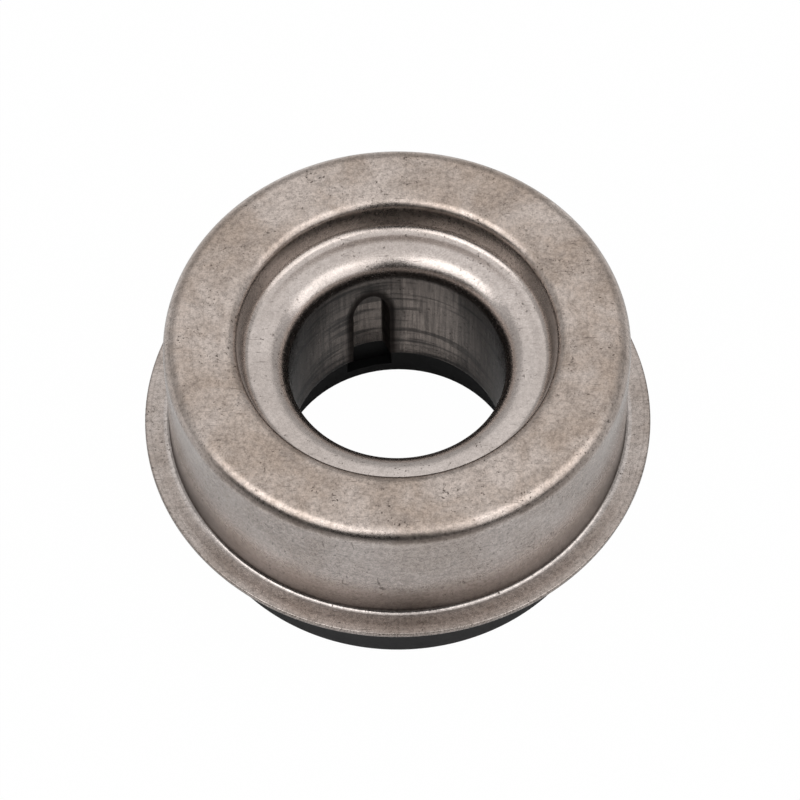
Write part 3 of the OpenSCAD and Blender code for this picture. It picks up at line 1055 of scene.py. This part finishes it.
            # Painted shade lies in the bends, thins out over the tube, and makes a hump at the open end of the floor
            inner_edge = np.clip((away - reach_in) / shade_edge + 1, 0, 1)
            outer_edge = np.clip((reach_out + self.key_shade_w - away) / self.key_shade_w * 1.6, 0, 1)
            hump = np.exp(-((across / self.key_hump_w) ** 2) - ((z - self.tube_end_z) / self.key_hump_h) ** 2)
            painted_shade += np.maximum(inner_edge * outer_edge, hump_share * hump) * near
            crown = self.key_crown * np.maximum(1 - (away / reach_in) ** 2, 0)
            target = self.tube_r + self.key_depth + crown + share * self.sheet
            moved = outward + weight * (target - outward)
            x = moved * math.cos(turn) - across * math.sin(turn)
            y = moved * math.sin(turn) + across * math.cos(turn)
        return x, y, painted_shade

    def build(self, finish: DrawnStainless) -> bpy.types.Object:
        """Builds the case in place of its CAD node.

        Args:
            finish: Finish of the sheet.

        Returns:
            The dressed piece.
        """
        outline, angles = self.outline(), self.angles()
        r = outline[:, :1] + 0 * angles
        z = outline[:, 1:] + 0 * angles
        x, y, painted_shade = self.press_keys(r, z, angles)
        piece = turned_mesh("drawn_case", x, y, z)
        piece.data.attributes.new(KEY_SHADE, "FLOAT", "POINT").data.foreach_set("value", painted_shade.ravel())
        dress(piece, finish.material())
        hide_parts("case")
        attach(piece, Body.CASE.value)
        return piece


@dataclass
class RubberBellows:
    """The moulded bellows: a cuff round the seal ring, a web behind it, one fold of skin and a bead."""

    cuff_r: float = 17.05
    cuff_bore_r: float = 14.65
    lip_bore_r: float = 13.5
    cuff_z: float = 0.4
    lip_top_z: float = 1.55
    web_z: float = 6.55
    web_top_z: float = 7.55
    web_bore_r: float = 10.925
    edge_round: float = 0.25
    skin_r: float = 13.525
    skin_t: float = 1.1
    bend_r: float = 1.5
    fold_r: float = 1.2
    fold_z: float = 10.5
    bead_z: float = 16.2
    bead_top_z: float = 19.75
    bead_out_r: float = 17.7
    bead_round: float = 1.3
    arc_step: float = 0.12
    run_step: float = 0.6
    turn_steps: int = 240

    def outline(self) -> np.ndarray:
        """Gives the section of the bellows, counter-clockwise from the inner edge of the front lip."""
        half, crease, trimmed, tight = self.skin_t / 2, 0.15, 0.1, 0.05
        out_r, in_r = self.skin_r + half, self.skin_r - half
        fold_out = self.skin_r + self.bend_r + self.fold_r
        low, high = self.fold_z - self.fold_r, self.fold_z + self.fold_r
        corners = [
            (self.lip_bore_r, self.cuff_z, self.edge_round),
            (self.cuff_r, self.cuff_z, self.edge_round),
            (self.cuff_r, self.web_top_z, self.edge_round),
            (out_r, self.web_top_z, crease),
            (out_r, low - half, self.bend_r - half),
            (fold_out + half, low - half, self.fold_r + half),
            (fold_out + half, high + half, self.fold_r + half),
            (out_r, high + half, self.bend_r - half),
            (out_r, self.bead_z, crease),
            (self.bead_out_r, self.bead_z, crease),
            (self.bead_out_r, self.bead_top_z, self.bead_round),
            (in_r, self.bead_top_z, self.edge_round),
            (in_r, high - half, self.bend_r + half),
            (fold_out - half, high - half, self.fold_r - half),
            (fold_out - half, low + half, self.fold_r - half),
            (in_r, low + half, self.bend_r + half),
            (in_r, self.web_top_z, crease),
            (self.web_bore_r, self.web_top_z, self.edge_round),
            (self.web_bore_r, self.web_z, trimmed),
            (self.cuff_bore_r, self.web_z, tight),
            (self.cuff_bore_r, self.lip_top_z, tight),
            (self.lip_bore_r, self.lip_top_z, trimmed),
        ]
        return rounded_outline(corners, self.arc_step, self.run_step)

    def build(self, finish: NitrileRubber) -> bpy.types.Object:
        """Builds the bellows in place of its CAD node.

        Args:
            finish: Finish of the rubber.

        Returns:
            The dressed piece.
        """
        piece = turned_piece("rubber_bellows", self.outline(), self.turn_steps)
        dress(piece, finish.material())
        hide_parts("bellows")
        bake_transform(piece)
        return piece


@dataclass
class WoundSpring:
    """The coil spring, wound from round wire, with its ends closed and ground flat."""

    wire_r: float = 0.75
    coil_r: float = 11.375
    low_z: float = 8.15
    high_z: float = 16.95
    coils: float = 3.5
    end_ease: float = 0.3
    ground: float = 0.25
    steps_per_coil: int = 72
    wire_sides: int = 28

    def coil_tree(self, material: bpy.types.Material) -> bpy.types.NodeTree:
        """Builds the tree that bends a line into the coil and sweeps the wire along it.

        Args:
            material: Finish of the wire.

        Returns:
            The node tree, with the spring's sizes as named inputs.
        """
        tree = bpy.data.node_groups.new("wound_coil", "GeometryNodeTree")
        for name in ("Coil Radius", "Wire Radius", "Low", "High", "Coils", "End Ease", "Ground"):
            tree.interface.new_socket(name, in_out="INPUT", socket_type="NodeSocketFloat")
        tree.interface.new_socket("Steps", in_out="INPUT", socket_type="NodeSocketInt")
        tree.interface.new_socket("Sides", in_out="INPUT", socket_type="NodeSocketInt")
        tree.interface.new_socket("Geometry", in_out="OUTPUT", socket_type="NodeSocketGeometry")
        given = add(tree, "NodeGroupInput").outputs

        line = add(tree, "GeometryNodeCurvePrimitiveLine")
        line = add(tree, "GeometryNodeResampleCurve", {"Curve": line.outputs[0], "Count": given["Steps"]})
        share = add(tree, "GeometryNodeSplineParameter").outputs["Factor"]
        whole = add(tree, "ShaderNodeMath", {0: share, 1: math.tau}, operation="MULTIPLY").outputs[0]
        angle = add(tree, "ShaderNodeMath", {0: whole, 1: given["Coils"]}, operation="MULTIPLY").outputs[0]
        cosine = add(tree, "ShaderNodeMath", {0: angle}, operation="COSINE").outputs[0]
        sine = add(tree, "ShaderNodeMath", {0: angle}, operation="SINE").outputs[0]
        x = add(tree, "ShaderNodeMath", {0: cosine, 1: given["Coil Radius"]}, operation="MULTIPLY").outputs[0]
        y = add(tree, "ShaderNodeMath", {0: sine, 1: given["Coil Radius"]}, operation="MULTIPLY").outputs[0]

        # The wire's middle starts half a wire up, less what is ground off, and climbs slower near both ends
        inset = add(tree, "ShaderNodeMath", {0: 0.5, 1: given["Ground"]}, operation="SUBTRACT").outputs[0]
        inset = add(tree, "ShaderNodeMath", {0: inset, 1: 2.0}, operation="MULTIPLY").outputs[0]
        inset = add(tree, "ShaderNodeMath", {0: inset, 1: given["Wire Radius"]}, operation="MULTIPLY").outputs[0]
        first = add(tree, "ShaderNodeMath", {0: given["Low"], 1: inset}, operation="ADD").outputs[0]
        last = add(tree, "ShaderNodeMath", {0: given["High"], 1: inset}, operation="SUBTRACT").outputs[0]
        wave = add(tree, "ShaderNodeMath", {0: whole}, operation="SINE").outputs[0]
        ease = add(tree, "ShaderNodeMath", {0: wave, 1: given["End Ease"]}, operation="MULTIPLY").outputs[0]
        ease = add(tree, "ShaderNodeMath", {0: ease, 1: -1 / math.tau, 2: share}, operation="MULTIPLY_ADD").outputs[0]
        climb = add(tree, "ShaderNodeMapRange", {0: ease, 3: first, 4: last}, clamp=False).outputs[0]
        place = add(tree, "ShaderNodeCombineXYZ", {0: x, 1: y, 2: climb}).outputs[0]
        coil = add(tree, "GeometryNodeSetPosition", {"Geometry": line.outputs[0], "Position": place})

        circle = add(
            tree, "GeometryNodeCurvePrimitiveCircle", {"Resolution": given["Sides"], "Radius": given["Wire Radius"]}
        )
        wire = add(
            tree,
            "GeometryNodeCurveToMesh",
            {"Curve": coil.outputs[0], "Profile Curve": circle.outputs[0], "Fill Caps": True},
        )

        # Grinding: what stands past the end planes comes back onto them
        here = add(tree, "ShaderNodeSeparateXYZ", {0: add(tree, "GeometryNodeInputPosition").outputs[0]})
        ground_z = add(
            tree, "ShaderNodeClamp", {"Value": here.outputs[2], "Min": given["Low"], "Max": given["High"]}
        ).outputs[0]
        flat = add(
            tree, "ShaderNodeCombineXYZ", {0: here.outputs[0], 1: here.outputs[1], 2: ground_z}
        ).outputs[0]
        wire = add(tree, "GeometryNodeSetPosition", {"Geometry": wire.outputs[0], "Position": flat})
        real = add(tree, "GeometryNodeRealizeInstances", {"Geometry": wire.outputs[0]})
        dressed = add(tree, "GeometryNodeSetMaterial", {"Geometry": real.outputs[0], "Material": material})
        add(tree, "NodeGroupOutput", {"Geometry": dressed.outputs[0]})
        return tree

    def build(self, finish: PressedStainless) -> bpy.types.Object:
        """Builds the spring in place of its CAD node.

        Args:
            finish: Finish of the wire.

        Returns:
            The dressed piece.
        """
        tree = self.coil_tree(finish.material())
        blank = bpy.data.objects.new("spring_blank", bpy.data.meshes.new("spring_blank"))
        bpy.context.scene.collection.objects.link(blank)
        modifier = blank.modifiers.new("coil", "NODES")
        modifier.node_group = tree
        sizes = {
            "Coil Radius": self.coil_r * MM,
            "Wire Radius": self.wire_r * MM,
            "Low": self.low_z * MM,
            "High": self.high_z * MM,
            "Coils": self.coils,
            "End Ease": self.end_ease,
            "Ground": self.ground,
            "Steps": round(self.steps_per_coil * self.coils) + 1,
            "Sides": self.wire_sides,
        }
        for socket in tree.interface.items_tree:
            if socket.in_out == "INPUT":
                modifier[socket.identifier] = sizes[socket.name]
        bpy.context.view_layer.update()
        mesh = bpy.data.meshes.new_from_object(blank.evaluated_get(bpy.context.evaluated_depsgraph_get()))
        bpy.data.objects.remove(blank)
        mesh.name = "wound_spring"
        mesh.polygons.foreach_set("use_smooth", [True] * len(mesh.polygons))
        mesh.set_sharp_from_angle(angle=math.radians(WIRE_EDGE))
        piece = bpy.data.objects.new("wound_spring", mesh)
        bpy.context.scene.collection.objects.link(piece)
        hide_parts("coil_spring")
        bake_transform(piece)
        return piece


@dataclass
class PressedRing:
    """A ring pressed from thin strip: a flat web, joined by a bend to a skirt or rim round its outer edge."""

    name: str
    node: str
    body: Body
    web: Web
    low_z: float
    high_z: float
    inner_r: float
    outer_r: float
    bend_r: float
    thick: float = 0.4
    cut_round: float = 0.06
    arc_step: float = 0.06
    run_step: float = 0.6
    turn_steps: int = 240

    def outline(self) -> np.ndarray:
        """Gives the section of the ring, counter-clockwise."""
        skirt_r, cut = self.outer_r - self.thick, self.cut_round
        if self.web is Web.TOP:
            corners = [
                (skirt_r, self.low_z, cut),
                (self.outer_r, self.low_z, cut),
                (self.outer_r, self.high_z, self.bend_r + self.thick),
                (self.inner_r, self.high_z, cut),
                (self.inner_r, self.high_z - self.thick, cut),
                (skirt_r, self.high_z - self.thick, self.bend_r),
            ]
        else:
            corners = [
                (self.inner_r, self.low_z, cut),
                (self.outer_r, self.low_z, self.bend_r + self.thick),
                (self.outer_r, self.high_z, cut),
                (skirt_r, self.high_z, cut),
                (skirt_r, self.low_z + self.thick, self.bend_r),
                (self.inner_r, self.low_z + self.thick, cut),
            ]
        return rounded_outline(corners, self.arc_step, self.run_step)

    def build(self, material: bpy.types.Material) -> bpy.types.Object:
        """Builds the ring in place of its CAD node.

        Args:
            material: Finish of the strip.

        Returns:
            The dressed piece.
        """
        piece = turned_piece(self.name, self.outline(), self.turn_steps)
        dress(piece, material)
        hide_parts(self.node)
        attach(piece, self.body.value)
        return piece


def clamp_ring() -> PressedRing:
    """Gives the ring in the case that holds the bead of the bellows, with its skirt pointing down."""
    return PressedRing(
        "bead_clamp_ring",
        "clamp_ring",
        Body.CASE,
        Web.TOP,
        low_z=13.95,
        high_z=16.15,
        inner_r=14.375,
        outer_r=17.7,
        bend_r=0.4,
    )


def cuff_band() -> PressedRing:
    """Gives the band that squeezes the cuff onto the seal ring, with its upper edge turned in."""
    return PressedRing(
        "cuff_clamp_band",
        "cuff_band",
        Body.HEAD,
        Web.TOP,
        low_z=4.4,
        high_z=8.0,
        inner_r=15.025,
        outer_r=17.5,
        bend_r=0.3,
    )


def spring_seat() -> PressedRing:
    """Gives the washer under the spring, with a rim that centres the coils."""
    return PressedRing(
        "spring_seat_washer",
        "spring_seat",
        Body.HEAD,
        Web.FOOT,
        low_z=7.6,
        high_z=8.9,
        inner_r=10.625,
        outer_r=12.675,
        bend_r=0.15,
        thick=0.5,
    )


@dataclass(frozen=True)
class Softbox:
    """A soft light aimed at the seal, by its direction, distance, size and brightness."""

    name: str
    azimuth: float
    elevation: float
    distance: float
    size: tuple[float, float]
    glow: float


@dataclass
class Studio:
    """The pale floor, the soft lights round the seal, the dark screen in front and the camera.

    Lengths are in metres, apart from the camera's own, which are in millimetres, and angles are in degrees.
    """

    floor_r: float = 3.0
    floor_z: float = -0.0001
    floor_steps: int = 96
    floor_colour: str = "#DADADA"
    room_glow: float = 0.51
    seen_glow: float = 0.99
    mirrored_glow: float = 0.8
    # Where the metal sees the floor: a painted shadow round the seal, a painted brighter side and a painted glow in
    # the bore
    shade_r: float = 0.012
    light_r: float = 0.06
    bright_way: tuple[float, float, float] = (0.3, -0.95, 0.0)
    bright_span: Span = (0.3, 0.97)
    bright_by: Span = (0.86, 1.15)
    bore_glow: float = 0.68
    bore_r: float = 0.006
    screen_r: float = 0.55
    screen_h: float = 0.46
    screen_half_turn: float = 72.0
    screen_steps: int = 48
    screen_colour: str = "#141414"
    camera_elevation: float = 57.42
    camera_distance: float = 0.305
    aim_z: float = 0.01346
    lens_mm: float = 173.4
    sensor_mm: float = 36.0
    shift: Span = (0.0033, -0.0224)
    roll: float = -0.57

    def softboxes(self) -> list[Softbox]:
        """Gives the lights: two overhead and one at each side of the camera."""
        return [
            Softbox("back_softbox", 90.0, 66.0, 0.62, (0.95, 0.62), 0.45),
            Softbox("front_softbox", -90.0, 72.0, 0.5, (0.6, 0.26), 0.55),
            Softbox("left_softbox", -138.0, 46.0, 0.42, (0.44, 0.26), 1.75),
            Softbox("right_softbox", -34.0, 39.0, 0.42, (0.5, 0.34), 1.4),
        ]

    def build_lights(self) -> None:
        """Adds the soft lights and the even light of the room."""
        for box in self.softboxes():
            light = bpy.data.lights.new(box.name, "AREA")
            light.shape = "RECTANGLE"
            light.size, light.size_y = box.size
            light.energy = box.glow * math.pi * box.size[0] * box.size[1]
            lamp = bpy.data.objects.new(box.name, light)
            turn, rise = math.radians(box.azimuth), math.radians(box.elevation)
            across = math.cos(rise)
            away = Vector((across * math.cos(turn), across * math.sin(turn), math.sin(rise)))
            lamp.location = away * box.distance
            lamp.rotation_euler = (-away).to_track_quat("-Z", "Y").to_euler()
            bpy.context.scene.collection.objects.link(lamp)
        world = bpy.data.worlds.new("room")
        world.use_nodes = True
        world.node_tree.nodes.clear()
        seen = add(world.node_tree, "ShaderNodeLightPath").outputs["Is Camera Ray"]
        glow = add(world.node_tree, "ShaderNodeMapRange", {0: seen, 3: self.room_glow, 4: 1.0}).outputs[0]
        glow = add(world.node_tree, "ShaderNodeBackground", {0: WHITE, 1: glow})
        add(world.node_tree, "ShaderNodeOutputWorld", {0: glow.outputs[0]})
        bpy.context.scene.world = world

    def build_floor(self) -> bpy.types.Object:
        """Builds the floor, pale where the camera and the metal see it and still with the seal's shadow."""
        angles = np.arange(self.floor_steps) * math.tau / self.floor_steps
        rim = [(self.floor_r * math.cos(a), self.floor_r * math.sin(a), self.floor_z) for a in angles]
        mesh = bpy.data.meshes.new("floor")
        mesh.from_pydata(rim, [], [list(range(len(rim)))])
        floor = bpy.data.objects.new("floor", mesh)
        bpy.context.scene.collection.objects.link(floor)
        material, tree = new_material("pale_paper")
        rays = add(tree, "ShaderNodeLightPath").outputs
        mirrored = add(tree, "ShaderNodeMath", {0: rays["Is Glossy Ray"], 1: rays["Is Transmission Ray"]}).outputs[0]
        place = add(tree, "ShaderNodeTexCoord").outputs["Object"]
        away = add(tree, "ShaderNodeVectorMath", {0: place}, operation="LENGTH").outputs["Value"]
        # What the metal sees of the floor's glow fades out near the seal, a painted shadow round its foot
        open_floor = add(
            tree, "ShaderNodeMapRange", {0: away, 1: self.shade_r, 2: self.light_r, 4: self.mirrored_glow}
        ).outputs[0]
        # The glow that the metal sees is painted brightest in front of the seal and a little to the right
        way = add(tree, "ShaderNodeVectorMath", {0: place}, operation="NORMALIZE").outputs[0]
        facing = add(
            tree, "ShaderNodeVectorMath", {0: way, 1: self.bright_way}, operation="DOT_PRODUCT"
        ).outputs["Value"]
        (aside, ahead), (dim, bright) = self.bright_span, self.bright_by
        facing = add(tree, "ShaderNodeMapRange", {0: facing, 1: aside, 2: ahead, 3: dim, 4: bright}).outputs[0]
        open_floor = add(tree, "ShaderNodeMath", {0: open_floor, 1: facing}, operation="MULTIPLY").outputs[0]
        # Inside the bore the metal sees a painted glow on the floor
        in_bore = add(
            tree, "ShaderNodeMapRange", {0: away, 1: self.bore_r, 2: self.bore_r * 0.9, 4: self.bore_glow}
        ).outputs[0]
        lit = add(tree, "ShaderNodeMath", {0: open_floor, 1: in_bore}).outputs[0]
        share = add(tree, "ShaderNodeMath", {0: mirrored, 1: lit}, operation="MULTIPLY").outputs[0]
        share = add(
            tree,
            "ShaderNodeMath",
            {0: rays["Is Camera Ray"], 1: self.seen_glow, 2: share},
            operation="MULTIPLY_ADD",
        ).outputs[0]
        paper = add(tree, "ShaderNodeBsdfDiffuse", {0: linear(self.floor_colour)})
        white = add(tree, "ShaderNodeEmission", {0: WHITE, 1: 1.0})
        mixed = add(tree, "ShaderNodeMixShader", {0: share, 1: paper.outputs[0], 2: white.outputs[0]})
        add(tree, "ShaderNodeOutputMaterial", {0: mixed.outputs[0]})
        dress(floor, material)
        return floor

    def build_screen(self) -> bpy.types.Object:
        """Builds the dark screen that gives the rounded edges their dark line, white to the camera itself."""
        half = self.screen_half_turn
        angles = np.radians(np.linspace(-90 - half, -90 + half, self.screen_steps + 1))
        low = [(self.screen_r * math.cos(a), self.screen_r * math.sin(a), 0.0) for a in angles]
        high = [(x, y, self.screen_h) for x, y, _ in low]
        count = len(low)
        mesh = bpy.data.meshes.new("dark_screen")
        faces = [(i + 1, i, count + i, count + i + 1) for i in range(count - 1)]
        mesh.from_pydata(low + high, [], faces)
        screen = bpy.data.objects.new("dark_screen", mesh)
        bpy.context.scene.collection.objects.link(screen)
        material, tree = new_material("black_cloth")
        seen = add(tree, "ShaderNodeLightPath").outputs["Is Camera Ray"]
        black = add(tree, "ShaderNodeBsdfDiffuse", {0: linear(self.screen_colour)})
        white = add(tree, "ShaderNodeEmission", {0: WHITE, 1: 1.0})
        mixed = add(tree, "ShaderNodeMixShader", {0: seen, 1: black.outputs[0], 2: white.outputs[0]})
        add(tree, "ShaderNodeOutputMaterial", {0: mixed.outputs[0]})
        dress(screen, material)
        return screen

    def build_camera(self) -> None:
        """Adds the camera at the photograph's viewing angle."""
        lens = bpy.data.cameras.new("camera")
        lens.lens, lens.sensor_width = self.lens_mm, self.sensor_mm
        lens.shift_x, lens.shift_y = self.shift
        lens.clip_start, lens.clip_end = 0.01, 20.0
        camera = bpy.data.objects.new("camera", lens)
        tilt = math.radians(self.camera_elevation)
        back = Vector((0, -math.cos(tilt), math.sin(tilt)))
        camera.location = Vector((0, 0, self.aim_z)) + back * self.camera_distance
        camera.rotation_euler = (math.pi / 2 - tilt, 0, 0)
        camera.rotation_euler.rotate_axis("Z", math.radians(self.roll))
        bpy.context.scene.collection.objects.link(camera)
        bpy.context.scene.camera = camera

    def build(self) -> None:
        """Sets the whole studio up."""
        self.build_lights()
        self.build_floor()
        self.build_screen()
        self.build_camera()
        bpy.context.scene.view_settings.view_transform = "Standard"


def dress_carbon_ring(finish: CarbonGraphite) -> bpy.types.Object:
    """Gives the seal ring, which keeps its CAD shape, its finish."""
    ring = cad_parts["seal_ring"]
    dress(ring, finish.material())
    return ring


def report(piece: bpy.types.Object) -> None:
    """Logs a piece's name and the size of its mesh."""
    log.info("%s: %d faces, %d corners", piece.name, len(piece.data.polygons), len(piece.data.vertices))


def main() -> None:
    """Builds the studio and every piece."""
    logging.basicConfig(level=logging.INFO, format="%(message)s")
    Studio().build()
    strip_steel = PressedStainless().material()
    pieces = [
        DrawnCase().build(DrawnStainless()),
        RubberBellows().build(NitrileRubber()),
        WoundSpring().build(PressedStainless("drawn_spring_wire", "#8F9194", "#6D6F72", 0.26)),
        clamp_ring().build(strip_steel),
        cuff_band().build(strip_steel),
        spring_seat().build(strip_steel),
        dress_carbon_ring(CarbonGraphite()),
    ]
    for piece in pieces:
        report(piece)


if __name__ == "__main__":
    main()
